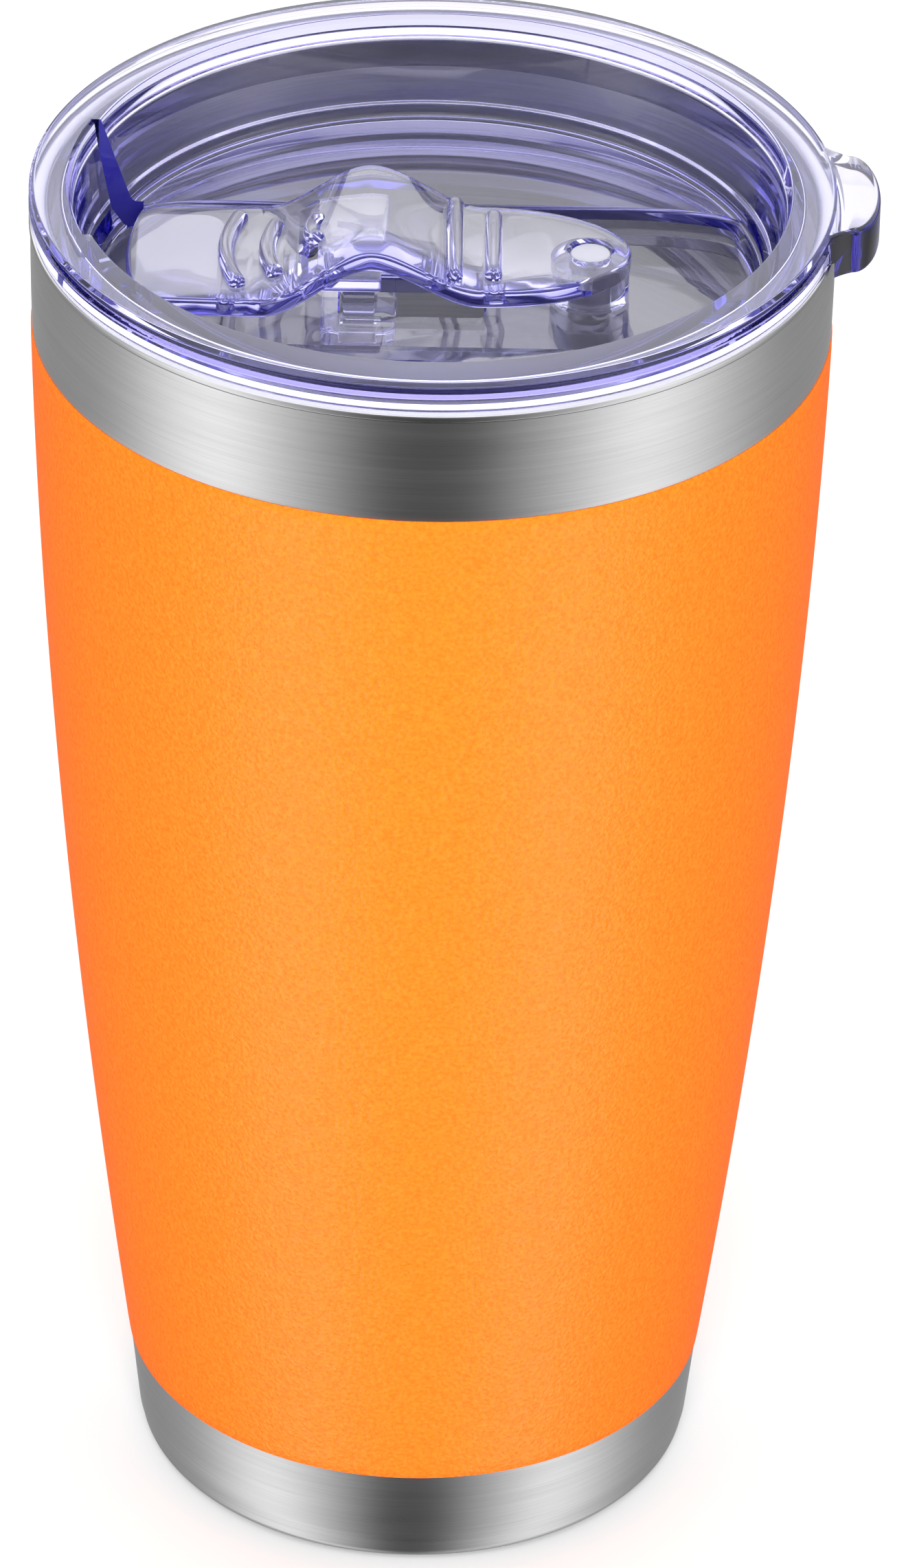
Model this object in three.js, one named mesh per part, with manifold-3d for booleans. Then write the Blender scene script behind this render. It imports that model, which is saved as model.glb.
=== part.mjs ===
// Insulated tumbler: a double-walled steel cup, a clear press-in lid with a finger tab,
// and a slider on the lid that covers the drinking hole and the vent.
// Millimetres, +Z up, origin at the centre of the base. +X points at the finger tab, -X at the mouthpiece.
import * as THREE from "three";
import { mergeVertices } from "three/addons/utils/BufferGeometryUtils.js";
import Module from "manifold-3d";

const wasm = await Module();
wasm.setup();

// ---- Driving dimensions ----
const AROUND = 40; // flats round every turned piece
const GAP = 0.3; // clearance between pieces that rest on or slide past each other
const SHEET = 0.4; // steel sheet thickness
const HEIGHT = 167.3; // base to the top of the lid

// Cup
const CUP = {
  topRadius: 45.35,
  taper: 11.15, // how much smaller the radius is at the foot band than at the rim
  taperPower: 1.75, // above 1, the side bulges instead of being a straight cone
  rimStart: 162.6, // top of the tapered side, where the rolled rim starts
  footBand: 13, // height of the bare steel band at the bottom
  coatTop: 150, // the coat covers from footBand to here
  footSlope: 0.105, // taper of the foot band
  footFillet: 1.6,
  coatProud: 0.15, // how far the coat stands out from the bare steel
  coatThickness: 0.12,
  coatSeat: 0.04, // gap between the coat and the steel under it
  wallDepth: 3.3, // outer surface to the inside of the liner
  linerFloor: 12, // height of the cup's inside floor
  linerCorner: 7,
  rimTop: 163.4,
};

// Lid heights are measured down from the top of the lid
const LID = {
  mouthRadius: 40,
  footRadius: 37.4, // where the drafted wall meets the floor
  flangeRadius: 45.35,
  flangeDepth: 3.6,
  plugRadius: 41.4,
  floorDepth: 11.8,
  channelDepth: 14.6,
  floorThickness: 2.2,
  channelHalfWidth: 16,
  grooveTop: 11.6,
  grooveBottom: 15.4,
  grooveRadius: 40.4,
  skirtDepth: 16.4, // the plug's wall goes on below the floor as a skirt
  skirtInner: 38.4,
  spoutHalfAngle: 0.34, // half the width of the mouthpiece recess, in radians
};
const TAB = {
  reach: 50,
  rootHalfWidth: 10.4,
  tipHalfWidth: 8.9,
  tipCurve: 3.2, // how far the curved tip reaches past the tab's sides
  flare: 2.2, // how far the root widens into the flange
  depth: 5.8,
  topDrop: 0.25,
};
const DRINK_HOLE = { near: -31.8, far: -25.2, halfWidth: 8 };
const VENT = { x: 17.7, radius: 1.2 };

// Slider
const TRAVEL = 12;
const PLATE = {
  thickness: 2.2,
  spoutEnd: -34.5,
  ventEnd: 22.3,
  spoutHalfWidth: 11.2,
  ventHalfWidth: 10,
  spoutDepth: 9.3, // depth of the flat over the drinking hole
  ventDepth: 8.3, // depth of the flat over the vent
  humpDepth: 3.5,
  humpStart: -19,
  humpPeak: -7,
  humpEnd: 5.5,
};
const WEB = { near: -17, far: -5.7, halfWidth: 8.4, top: 8, bottom: 9.6 }; // flat web across the hump
// Two snap legs under the web, in one slot, which end a little past the keeper's underside
const LEG = { near: -10, far: -6.5, inner: 3.2, outer: 4.2, slotGap: 0.4, past: 0.8 };
const KEEPER = { near: -12.5, far: -4, halfWidth: 6.5, bottom: 18.9, top: 17.1 }; // under the lid's floor
const BOSS = { radius: 4.45, bore: 2.4 };

const steel = (name, colour) => {
  const material = new THREE.MeshStandardMaterial({ color: colour, roughness: 0.32, metalness: 1 });
  material.name = name;
  return material;
};
const plain = (name, colour, roughness) => {
  const material = new THREE.MeshStandardMaterial({ color: colour, roughness, metalness: 0 });
  material.name = name;
  return material;
};
const clear = (name, colour) => {
  const material = plain(name, colour, 0.06);
  material.transparent = true;
  material.opacity = 0.4;
  return material;
};
const BRUSHED = steel("brushed_steel", 0xb4b5b6);
const COPPER = steel("copper_foil", 0xc07a4a);
const COAT = plain("powder_coat", 0xff8c1e, 0.5);
const CLEAR = clear("clear_plastic", 0xcfcdf0);
const SILICONE = plain("clear_silicone", 0xe4e6ee, 0.45);
const GASKET = plain("gasket_silicone", 0xe9e9ee, 0.5);
const GETTER = plain("getter_pellet", 0x55575b, 0.8);
const SOLDER = steel("sealing_bead", 0x9a9b9d);

// ---- Solids ----
// One closed body from a three.js geometry, with its faces pointing out.
function solid(geometry) {
  const bare = geometry.clone();
  bare.deleteAttribute("normal");
  bare.deleteAttribute("uv");
  const merged = mergeVertices(bare, 1e-4);
  const index = merged.index.array;
  const kept = [];
  for (let i = 0; i < index.length; i += 3) {
    const [a, b, c] = [index[i], index[i + 1], index[i + 2]];
    if (a !== b && b !== c && c !== a) kept.push(a, b, c);
  }
  const build = (corners) =>
    new wasm.Manifold(
      new wasm.Mesh({
        numProp: 3,
        vertProperties: new Float32Array(merged.attributes.position.array),
        triVerts: new Uint32Array(corners),
      }),
    );
  const made = build(kept);
  if (made.volume() > 0) return made;
  return build(kept.reverse());
}

function geometryOf(body) {
  const mesh = body.getMesh();
  const stride = mesh.numProp;
  const positions = new Float32Array(mesh.numVert * 3);
  for (let i = 0; i < mesh.numVert; i++) {
    for (let k = 0; k < 3; k++) positions[3 * i + k] = mesh.vertProperties[stride * i + k];
  }
  const geometry = new THREE.BufferGeometry();
  geometry.setAttribute("position", new THREE.BufferAttribute(positions, 3));
  geometry.setIndex(new THREE.BufferAttribute(new Uint32Array(mesh.triVerts), 1));
  geometry.computeVertexNormals();
  return geometry;
}

// A turned body: its profile is a list of [radius, height] that ends where it starts or on the axis.
function turned(profile, around = AROUND) {
  const onAxis = profile[0][0] === 0;
  const points = profile.map(([radius, height]) => new THREE.Vector2(radius, height));
  if (!onAxis) points.push(points[0].clone());
  const lathe = new THREE.LatheGeometry(points, around);
  lathe.rotateX(Math.PI / 2);
  return solid(lathe);
}

// An upright prism on an outline in X and Y.
function prism(outline, bottom, top, curveSegments = 8) {
  const options = { depth: top - bottom, bevelEnabled: false, curveSegments };
  const geometry = new THREE.ExtrudeGeometry(outline, options);
  geometry.translate(0, 0, bottom);
  return solid(geometry);
}

function outlineOf(points) {
  return new THREE.Shape(points.map(([x, y]) => new THREE.Vector2(x, y)));
}

function roundedRectangle(x0, x1, halfWidth, corner) {
  const shape = new THREE.Shape();
  shape.moveTo(x0 + corner, -halfWidth);
  shape.lineTo(x1 - corner, -halfWidth);
  shape.quadraticCurveTo(x1, -halfWidth, x1, -halfWidth + corner);
  shape.lineTo(x1, halfWidth - corner);
  shape.quadraticCurveTo(x1, halfWidth, x1 - corner, halfWidth);
  shape.lineTo(x0 + corner, halfWidth);
  shape.quadraticCurveTo(x0, halfWidth, x0, halfWidth - corner);
  shape.lineTo(x0, -halfWidth + corner);
  shape.quadraticCurveTo(x0, -halfWidth, x0 + corner, -halfWidth);
  return shape;
}

// A quarter turn of a fillet, from one angle to another, as [radius, height] points.
function fillet(centreRadius, centreHeight, radius, from, to, steps) {
  const points = [];
  for (let i = 0; i <= steps; i++) {
    const angle = from + ((to - from) * i) / steps;
    points.push([centreRadius + radius * Math.cos(angle), centreHeight + radius * Math.sin(angle)]);
  }
  return points;
}

// ---- Cup ----
// Radius of the cup's outer surface at a height.
function cupRadius(height) {
  if (height < CUP.footBand) {
    return CUP.topRadius - CUP.taper - CUP.footSlope * (CUP.footBand - height);
  }
  const share = Math.max(0, (CUP.rimStart - height) / (CUP.rimStart - CUP.footBand));
  return CUP.topRadius - CUP.taper * share ** CUP.taperPower;
}

// Heights of the rings along the tapered side.
function sideHeights(bottom, top, steps) {
  return Array.from({ length: steps + 1 }, (_, i) => bottom + ((top - bottom) * i) / steps);
}

// Radius of the steel shell: it steps in under the coat.
function shellRadius(height, coated) {
  return cupRadius(height) - (coated ? CUP.coatThickness + CUP.coatSeat : CUP.coatProud);
}

const SHELL_TOP = CUP.rimStart - 0.4;
const COATED = sideHeights(CUP.footBand, CUP.coatTop, 5);

function outerShell() {
  const footRadius = shellRadius(0, false);
  const corner = CUP.footFillet;
  const outside = [
    ...fillet(footRadius - corner, corner, corner, -Math.PI / 2, 0, 3),
    [shellRadius(CUP.footBand - GAP, false), CUP.footBand - GAP],
    ...COATED.map((height) => [shellRadius(height, true), height]),
    [shellRadius(CUP.coatTop + GAP, false), CUP.coatTop + GAP],
    [shellRadius(SHELL_TOP, false), SHELL_TOP],
  ];
  const inside = [
    [shellRadius(SHELL_TOP, true) - SHEET, SHELL_TOP],
    ...COATED.slice()
      .reverse()
      .map((height) => [shellRadius(height, true) - SHEET, height]),
    [footRadius - 2 * SHEET, corner + SHEET],
    [footRadius - corner, SHEET],
  ];
  return turned([...outside, ...inside]);
}

function powderCoat() {
  const outside = COATED.map((height) => [cupRadius(height), height]);
  const inside = COATED.map((height) => [cupRadius(height) - CUP.coatThickness, height]).reverse();
  return turned([...outside, ...inside]);
}

const linerRadius = (height) => cupRadius(height) - CUP.wallDepth;
const FLARE_START = 157;

function innerLiner() {
  const floor = CUP.linerFloor;
  const corner = CUP.linerCorner;
  const cornerTop = floor + corner;
  const heights = sideHeights(cornerTop, FLARE_START, 5);
  const rounded = (offset) =>
    fillet(linerRadius(cornerTop) - corner, cornerTop, corner + offset, -Math.PI / 2, 0, 4);
  const bead = CUP.topRadius;
  const rim = [
    [bead - 2.6, CUP.rimStart - 1.2],
    [bead - 2.1, CUP.rimTop - 0.5],
    [bead - 1.5, CUP.rimTop],
    [bead - 0.6, CUP.rimTop],
    [bead, CUP.rimTop - 0.6],
    [bead, CUP.rimStart],
    [bead - 1.6, CUP.rimStart],
    [bead - 2.3, CUP.rimStart - 2],
  ];
  const inside = [...rounded(0), ...heights.slice(1).map((height) => [linerRadius(height), height])];
  const outside = [
    ...rounded(SHEET),
    ...heights.slice(1).map((height) => [linerRadius(height) + SHEET, height]),
  ];
  return turned([[0, floor], ...inside, ...rim, ...outside.reverse(), [0, floor - SHEET]]);
}

function copperWrap() {
  const heights = sideHeights(22, 146, 4);
  const inner = (height) => linerRadius(height) + SHEET + 0.45;
  const outside = heights.map((height) => [inner(height) + 0.2, height]);
  const inside = heights.map((height) => [inner(height), height]).reverse();
  return turned([...outside, ...inside]);
}

// Pressed dish that closes the vacuum space, with a dimple round the exhaust hole.
const DISH = { bottom: 1.6, dimpleRadius: 3.6, dimpleRise: 1.6, hole: 0.8, wallHeight: 5 };

function outerBase() {
  const { bottom, dimpleRadius, dimpleRise, hole, wallHeight } = DISH;
  const wall = shellRadius(0, false) - 3 * SHEET;
  const top = bottom + SHEET;
  return turned([
    [hole, bottom + dimpleRise],
    [dimpleRadius, bottom + dimpleRise],
    [dimpleRadius + 1.4, bottom],
    [wall - 1, bottom],
    [wall - 0.2, bottom + 0.6],
    [wall, bottom + wallHeight],
    [wall - SHEET, bottom + wallHeight],
    [wall - SHEET - 0.2, top + 0.5],
    [wall - 1.2, top],
    [dimpleRadius + 1.6, top],
    [dimpleRadius + 0.2, top + dimpleRise],
    [hole, top + dimpleRise],
  ]);
}

function sealingBead() {
  const bottom = CAP.thickness + GAP;
  const top = DISH.bottom + DISH.dimpleRise - GAP;
  return turned([[0, bottom], [1.8, bottom], [2.9, (bottom + top) / 2], [2.4, top], [0, top]], 24);
}

// Flat foot disc, with a shallow ring pressed into its underside.
const CAP = { thickness: 0.8, ringInner: 25.4, ringOuter: 26.8, ringDepth: 0.35 };

function baseCap() {
  const radius = shellRadius(0, false) - CUP.footFillet - GAP;
  return turned([
    [0, 0],
    [CAP.ringInner, 0],
    [CAP.ringInner + 0.3, CAP.ringDepth],
    [CAP.ringOuter - 0.3, CAP.ringDepth],
    [CAP.ringOuter, 0],
    [radius, 0],
    [radius, CAP.thickness],
    [0, CAP.thickness],
  ]);
}

// Getter: an absorbent pellet in a small cup, fixed off-centre inside the vacuum space.
const GETTER_CUP = { x: 15, bottom: DISH.bottom + SHEET + GAP, radius: 5, height: 2.8, sheet: 0.4 };

function getterHolder() {
  const { x, bottom, radius, height, sheet } = GETTER_CUP;
  const top = bottom + height;
  return turned(
    [
      [0, bottom],
      [radius, bottom],
      [radius, top],
      [radius - sheet, top],
      [radius - sheet, bottom + sheet],
      [0, bottom + sheet],
    ],
    24,
  ).translate([x, 0, 0]);
}

function getterPellet() {
  const { x, bottom, radius, height, sheet } = GETTER_CUP;
  const pellet = radius - sheet - GAP;
  const low = bottom + sheet + GAP;
  const high = bottom + height + 0.4;
  return turned([[0, low], [pellet, low], [pellet, high], [0, high]], 24).translate([x, 0, 0]);
}

// ---- Lid, modelled with the top of its flange at height 0 ----
function lidTurned() {
  const { mouthRadius, footRadius, flangeRadius, flangeDepth, plugRadius } = LID;
  const { floorDepth, floorThickness, grooveTop, grooveBottom, grooveRadius } = LID;
  const { skirtDepth, skirtInner } = LID;
  const underside = -(floorDepth + floorThickness);
  return turned([
    [0, underside],
    [skirtInner, underside],
    [skirtInner, -skirtDepth],
    [plugRadius - 0.7, -skirtDepth],
    [plugRadius - 0.2, -skirtDepth + 0.5],
    [plugRadius - 0.2, -grooveBottom],
    [grooveRadius, -grooveBottom],
    [grooveRadius, -grooveTop],
    [plugRadius, -grooveTop],
    [plugRadius, -flangeDepth],
    [flangeRadius - 0.3, -flangeDepth],
    [flangeRadius, -flangeDepth + 0.3],
    [flangeRadius, -1.7],
    [flangeRadius - 0.6, -1.5],
    [flangeRadius - 0.6, -1.0],
    [flangeRadius, -0.8],
    [flangeRadius, -0.4],
    [flangeRadius - 0.5, 0],
    [mouthRadius + 0.2, 0],
    [mouthRadius, -0.2],
    [footRadius + 0.6, -(floorDepth - 1.4)],
    [footRadius, -(floorDepth - 0.5)],
    [footRadius - 0.8, -floorDepth],
    [0, -floorDepth],
  ]);
}

function channelOutline(grow) {
  const half = LID.channelHalfWidth + grow;
  const shape = new THREE.Shape();
  shape.moveTo(-25, -half);
  shape.lineTo(25, -half);
  shape.quadraticCurveTo(36, -half + 1, 40, -half + 8);
  shape.lineTo(40, half - 8);
  shape.quadraticCurveTo(36, half - 1, 25, half);
  shape.lineTo(-25, half);
  shape.quadraticCurveTo(-36, half - 1, -40, half - 8);
  shape.lineTo(-40, -half + 8);
  shape.quadraticCurveTo(-36, -half + 1, -25, -half);
  return shape;
}

const disc = (radius, bottom, top) =>
  turned([[0, bottom], [radius, bottom], [radius, top], [0, top]]);

// The mouthpiece recess: its wall stands nearly upright, so its side faces widen towards the floor.
function spoutRecess() {
  const wall = turned([
    [0, -LID.channelDepth],
    [LID.footRadius + 0.6, -LID.channelDepth],
    [LID.footRadius + 1.8, -LID.floorDepth],
    [LID.mouthRadius + 0.9, 0.1],
    [0, 0.1],
  ]);
  const side = Math.sin(LID.spoutHalfAngle) * LID.mouthRadius;
  const sector = outlineOf([
    [-42, -side],
    [-38, -side],
    [-33, -side - 2.4],
    [-33, side + 2.4],
    [-38, side],
    [-42, side],
  ]);
  return wall.intersect(prism(sector, -LID.channelDepth, 1));
}

function fingerTab() {
  const root = LID.flangeRadius - 1.2;
  const { reach, rootHalfWidth, tipHalfWidth, tipCurve, flare, depth, topDrop } = TAB;
  const tipCentre = reach - tipCurve;
  const shape = new THREE.Shape();
  shape.moveTo(root - 1.5, -rootHalfWidth - flare);
  shape.quadraticCurveTo(root + 0.5, -tipHalfWidth - 1, tipCentre, -tipHalfWidth);
  shape.absellipse(tipCentre, 0, tipCurve, tipHalfWidth, -Math.PI / 2, Math.PI / 2, false);
  shape.quadraticCurveTo(root + 0.5, tipHalfWidth + 1, root - 1.5, rootHalfWidth + flare);
  const block = prism(shape, -depth, -topDrop, 6);
  const rimSpace = disc(CUP.topRadius + 0.5, -depth - 1, -LID.flangeDepth + 0.01);
  return block.subtract(rimSpace);
}

function lidBody() {
  const { channelDepth, floorDepth, floorThickness, footRadius } = LID;
  const channelUnder = prism(channelOutline(2), -(channelDepth + floorThickness), -floorDepth - 0.5);
  const channelKeel = channelUnder.intersect(disc(LID.plugRadius - 1.6, -40, 0));
  const channelSpace = prism(channelOutline(0), -channelDepth, -floorDepth + 1);
  const channel = channelSpace.intersect(disc(footRadius - 0.4, -40, 0));
  const holeShape = roundedRectangle(DRINK_HOLE.near, DRINK_HOLE.far, DRINK_HOLE.halfWidth, 3);
  const drinkHole = prism(holeShape, -30, -floorDepth);
  const slotNear = LEG.near - LEG.slotGap;
  const slotFar = LEG.far + TRAVEL + LEG.slotGap;
  const slotShape = roundedRectangle(slotNear, slotFar, LEG.outer + LEG.slotGap, 0.8);
  const slot = prism(slotShape, -30, -floorDepth);
  const vent = turned([[0, -30], [VENT.radius, -30], [VENT.radius, -floorDepth], [0, -floorDepth]], 16);
  return lidTurned()
    .add(channelKeel)
    .add(fingerTab())
    .subtract(channel)
    .subtract(spoutRecess())
    .subtract(drinkHole)
    .subtract(slot)
    .subtract(vent.translate([VENT.x, 0, 0]));
}

// Ring in the lid's groove, with two soft lips towards the liner.
function lidGasket() {
  const inner = LID.grooveRadius + GAP;
  const low = -LID.grooveBottom + GAP;
  const high = -LID.grooveTop - GAP;
  const lip = linerRadius(HEIGHT + low) - GAP;
  const body = inner + 0.55;
  const middle = (low + high) / 2;
  return turned([
    [inner, low],
    [body, low],
    [lip, low + 0.9],
    [lip, low + 1.2],
    [body, middle],
    [lip, high - 0.9],
    [lip, high - 0.6],
    [body, high],
    [inner, high],
  ]);
}

// ---- Slider ----
// Depth of the slider's top surface along X: two flats joined over a hump.
function sliderTop(x) {
  const { humpStart, humpPeak, humpEnd, humpDepth, spoutDepth, ventDepth } = PLATE;
  const ease = (share) => share * share * (3 - 2 * share);
  if (x <= humpStart) return -spoutDepth;
  if (x >= humpEnd) return -ventDepth;
  if (x < humpPeak) {
    return -spoutDepth + (spoutDepth - humpDepth) * ease((x - humpStart) / (humpPeak - humpStart));
  }
  return -ventDepth + (ventDepth - humpDepth) * ease((humpEnd - x) / (humpEnd - humpPeak));
}

function sliderOutline() {
  const { spoutEnd, ventEnd, spoutHalfWidth, ventHalfWidth, humpStart, humpEnd } = PLATE;
  const corner = 2.5;
  const spoutSide = Math.asin((spoutHalfWidth - corner) / -spoutEnd);
  const shape = new THREE.Shape();
  shape.moveTo(spoutEnd + 2 * corner, -spoutHalfWidth);
  shape.lineTo(humpStart, -spoutHalfWidth);
  shape.lineTo(humpEnd, -ventHalfWidth);
  shape.absellipse(humpEnd, 0, ventEnd - humpEnd, ventHalfWidth, -Math.PI / 2, Math.PI / 2, false);
  shape.lineTo(humpStart, spoutHalfWidth);
  shape.lineTo(spoutEnd + 2 * corner, spoutHalfWidth);
  const endX = spoutEnd * Math.cos(spoutSide);
  shape.quadraticCurveTo(endX + 0.4, spoutHalfWidth, endX, spoutHalfWidth - corner);
  shape.absarc(0, 0, -spoutEnd, Math.PI - spoutSide, Math.PI + spoutSide, false);
  shape.quadraticCurveTo(endX + 0.4, -spoutHalfWidth, spoutEnd + 2 * corner, -spoutHalfWidth);
  return shape;
}

// A sheet that follows the slider's top at a depth under it: its side view is extruded across the slider.
function humped(drop, thickness) {
  const { spoutEnd, ventEnd, humpStart, humpEnd } = PLATE;
  const steps = 14;
  const xs = [spoutEnd - 1];
  for (let i = 0; i <= steps; i++) xs.push(humpStart + ((humpEnd - humpStart) * i) / steps);
  xs.push(ventEnd + 1);
  const top = xs.map((x) => [x, sliderTop(x) - drop]);
  const under = xs.map((x) => [x, sliderTop(x) - drop - thickness]).reverse();
  const depth = 2 * PLATE.spoutHalfWidth + 4;
  const options = { depth, bevelEnabled: false };
  const geometry = new THREE.ExtrudeGeometry(outlineOf([...top, ...under]), options);
  geometry.translate(0, 0, -depth / 2);
  geometry.rotateX(Math.PI / 2);
  return solid(geometry);
}

// A rounded rib lying on the slider: a chain of points, each put on the slider's surface.
const RIB = 1;

function rib(points) {
  const path = new THREE.CatmullRomCurve3(
    points.map(([x, y]) => new THREE.Vector3(x, y, sliderTop(x))),
  );
  const section = new THREE.Shape();
  section.absarc(0, 0, RIB, 0, 2 * Math.PI, false);
  const options = { steps: 6, extrudePath: path, bevelEnabled: false, curveSegments: 4 };
  return solid(new THREE.ExtrudeGeometry(section, options));
}

// Arc-shaped grips on the spout side, each shorter than the one before.
function arcGrip(x, halfLength, bulge) {
  const points = [];
  for (let i = -2; i <= 2; i++) points.push([x + bulge * (i / 2) ** 2, (halfLength * i) / 2]);
  return rib(points);
}

const barGrip = (x, halfLength) => rib([[x, -halfLength], [x, 0], [x, halfLength]]);

// Plan of one snap leg, grown on all sides.
function legOutline(side, grow) {
  const near = LEG.near - grow;
  const far = LEG.far + grow;
  const inner = side * (LEG.inner - grow);
  const outer = side * (LEG.outer + grow);
  return outlineOf([[near, inner], [far, inner], [far, outer], [near, outer]]);
}

function slider() {
  const boss = turned(
    [
      [BOSS.bore, -LID.channelDepth + GAP],
      [BOSS.radius, -LID.channelDepth + GAP],
      [BOSS.radius, -PLATE.ventDepth - 0.2],
      [BOSS.bore, -PLATE.ventDepth - 0.2],
    ],
    24,
  ).translate([VENT.x, 0, 0]);
  const bore = disc(BOSS.bore, -30, 0).translate([VENT.x, 0, 0]);
  const plate = humped(0, PLATE.thickness).intersect(prism(sliderOutline(), -30, 0));
  const underPlate = humped(PLATE.thickness / 2, 30);
  const web = prism(roundedRectangle(WEB.near, WEB.far, WEB.halfWidth, 0.5), -WEB.bottom, -WEB.top);
  const legTop = 0.4 - WEB.bottom;
  const legEnd = -(KEEPER.bottom + LEG.past);
  let body = plate.add(web.intersect(underPlate)).add(boss).subtract(bore);
  for (const side of [-1, 1]) {
    body = body.add(prism(legOutline(side, 0), legEnd, legTop));
  }
  body = body.add(arcGrip(-23.2, 7.3, 1.3)).add(arcGrip(-18.6, 5.2, 0.9)).add(arcGrip(-13.6, 2.2, 0.5));
  return body.add(barGrip(2.4, 8.1)).add(barGrip(6.8, 6.6));
}

// Soft pad under the slider's wide end, which covers the drinking hole.
function drinkSealPad() {
  const shape = roundedRectangle(-33.2, -23.6, 10, 2.5);
  return prism(shape, -LID.channelDepth + GAP, -PLATE.spoutDepth - PLATE.thickness - GAP);
}

// Soft core of the boss, which covers the vent.
function ventPlug() {
  const low = -LID.channelDepth + GAP;
  const high = -PLATE.ventDepth - 0.4;
  const radius = BOSS.bore - GAP;
  return turned([[0, low], [radius, low], [radius, high], [0, high]], 24).translate([VENT.x, 0, 0]);
}

// Retainer under the lid's floor, which the slider's two legs snap through.
function sliderKeeper() {
  const { near, far, halfWidth, bottom, top } = KEEPER;
  const plate = prism(roundedRectangle(near, far, halfWidth, 1.5), -bottom, -top);
  const holes = [-1, 1].map((side) => prism(legOutline(side, GAP), -40, 0));
  return plate.subtract(holes[0]).subtract(holes[1]);
}

// ---- Assembly ----
function place(parent, name, body, material) {
  const mesh = new THREE.Mesh(geometryOf(body), material);
  mesh.name = name;
  parent.add(mesh);
}

const tumbler = new THREE.Group();
const cup = new THREE.Group();
const lid = new THREE.Group();
const sliderGroup = new THREE.Group();
lid.position.z = HEIGHT;
lid.add(sliderGroup);
tumbler.add(cup, lid);

place(cup, "outer_shell", outerShell(), BRUSHED);
place(cup, "powder_coat", powderCoat(), COAT);
place(cup, "inner_liner", innerLiner(), BRUSHED);
place(cup, "copper_wrap", copperWrap(), COPPER);
place(cup, "outer_base", outerBase(), BRUSHED);
place(cup, "base_cap", baseCap(), BRUSHED);
place(cup, "getter_holder", getterHolder(), BRUSHED);
place(cup, "getter_pellet", getterPellet(), GETTER);
place(cup, "vacuum_seal_bead", sealingBead(), SOLDER);
place(lid, "lid_body", lidBody(), CLEAR);
place(lid, "lid_gasket", lidGasket(), GASKET);
place(sliderGroup, "slider", slider(), CLEAR);
place(sliderGroup, "drink_seal_pad", drinkSealPad(), SILICONE);
place(sliderGroup, "vent_plug", ventPlug(), SILICONE);
place(sliderGroup, "slider_keeper", sliderKeeper(), CLEAR);

export default tumbler;
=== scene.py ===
"""Looks of an insulated tumbler: brushed steel, an orange powder coat, and a clear tinted lid and slider."""

import math

import bmesh
import bpy
from mathutils import Matrix, Vector


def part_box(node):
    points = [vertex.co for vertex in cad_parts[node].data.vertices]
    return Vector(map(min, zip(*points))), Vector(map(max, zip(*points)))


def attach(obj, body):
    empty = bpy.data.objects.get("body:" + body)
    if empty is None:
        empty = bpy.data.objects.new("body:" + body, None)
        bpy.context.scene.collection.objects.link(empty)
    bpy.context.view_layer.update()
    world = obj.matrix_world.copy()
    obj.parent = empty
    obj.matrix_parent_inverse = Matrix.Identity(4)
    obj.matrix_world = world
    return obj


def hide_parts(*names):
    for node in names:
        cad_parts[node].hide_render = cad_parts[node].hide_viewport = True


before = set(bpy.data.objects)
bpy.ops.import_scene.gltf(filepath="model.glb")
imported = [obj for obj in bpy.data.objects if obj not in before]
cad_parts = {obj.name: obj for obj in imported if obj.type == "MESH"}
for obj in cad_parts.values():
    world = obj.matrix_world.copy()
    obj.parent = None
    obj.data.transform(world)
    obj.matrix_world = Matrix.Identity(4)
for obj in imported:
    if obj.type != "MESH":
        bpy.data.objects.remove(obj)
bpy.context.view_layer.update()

MM = 0.001
FULL = 2 * math.pi

# ---- Driving dimensions, in millimetres ----
AROUND = 192  # segments round a turned piece
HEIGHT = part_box("lid_body")[1].z / MM  # top of the lid's flange
RIM_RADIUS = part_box("inner_liner")[1].x / MM

# Cup
TAPER = 11.15
TAPER_POWER = 1.75
RIM_START = 162.6
RIM_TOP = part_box("inner_liner")[1].z / MM
FOOT_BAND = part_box("powder_coat")[0].z / MM
COAT_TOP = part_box("powder_coat")[1].z / MM
FOOT_SLOPE = 0.105
FOOT_FILLET = 1.6
COAT_PROUD = 0.15
WALL_DEPTH = 3.3
SHEET = 0.4
LINER_FLOOR = 12
LINER_CORNER = 7
FLARE_START = 157
POLISHED_BELOW_RIM = 3.5

# Lid, in depths below the top of its flange
MOUTH_RADIUS = 40
WELL_FOOT = 37.4
FLANGE_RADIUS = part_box("lid_body")[1].y / MM
FLANGE_DEPTH = 3.6
PLUG_RADIUS = 41.4
FLOOR_DEPTH = 11.8
CHANNEL_DEPTH = 14.6
FLOOR_THICKNESS = 2.2
CHANNEL_HALF = 16
GROOVE_TOP = 11.6
GROOVE_BOTTOM = 15.4
SKIRT_DEPTH = 16.4
SKIRT_INNER = 38.4
GROOVE_RADIUS = 40.4
SPOUT_HALF_ANGLE = 0.34
TAB_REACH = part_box("lid_body")[1].x / MM
TAB_ROOT_HALF = 12.6  # where the tab's flared root meets the flange
TAB_TIP_HALF = 8.9
TAB_TIP_CURVE = 3.2  # how far the curved tip reaches past the tab's sides
TAB_DEPTH = 5.8
TAB_DROP = 0.25
VENT_X = 17.7
VENT_RADIUS = 1.2
DRINK_HOLE = (-31.8, -25.2, 8)
TRAVEL = 12
GAP = 0.3

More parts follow.
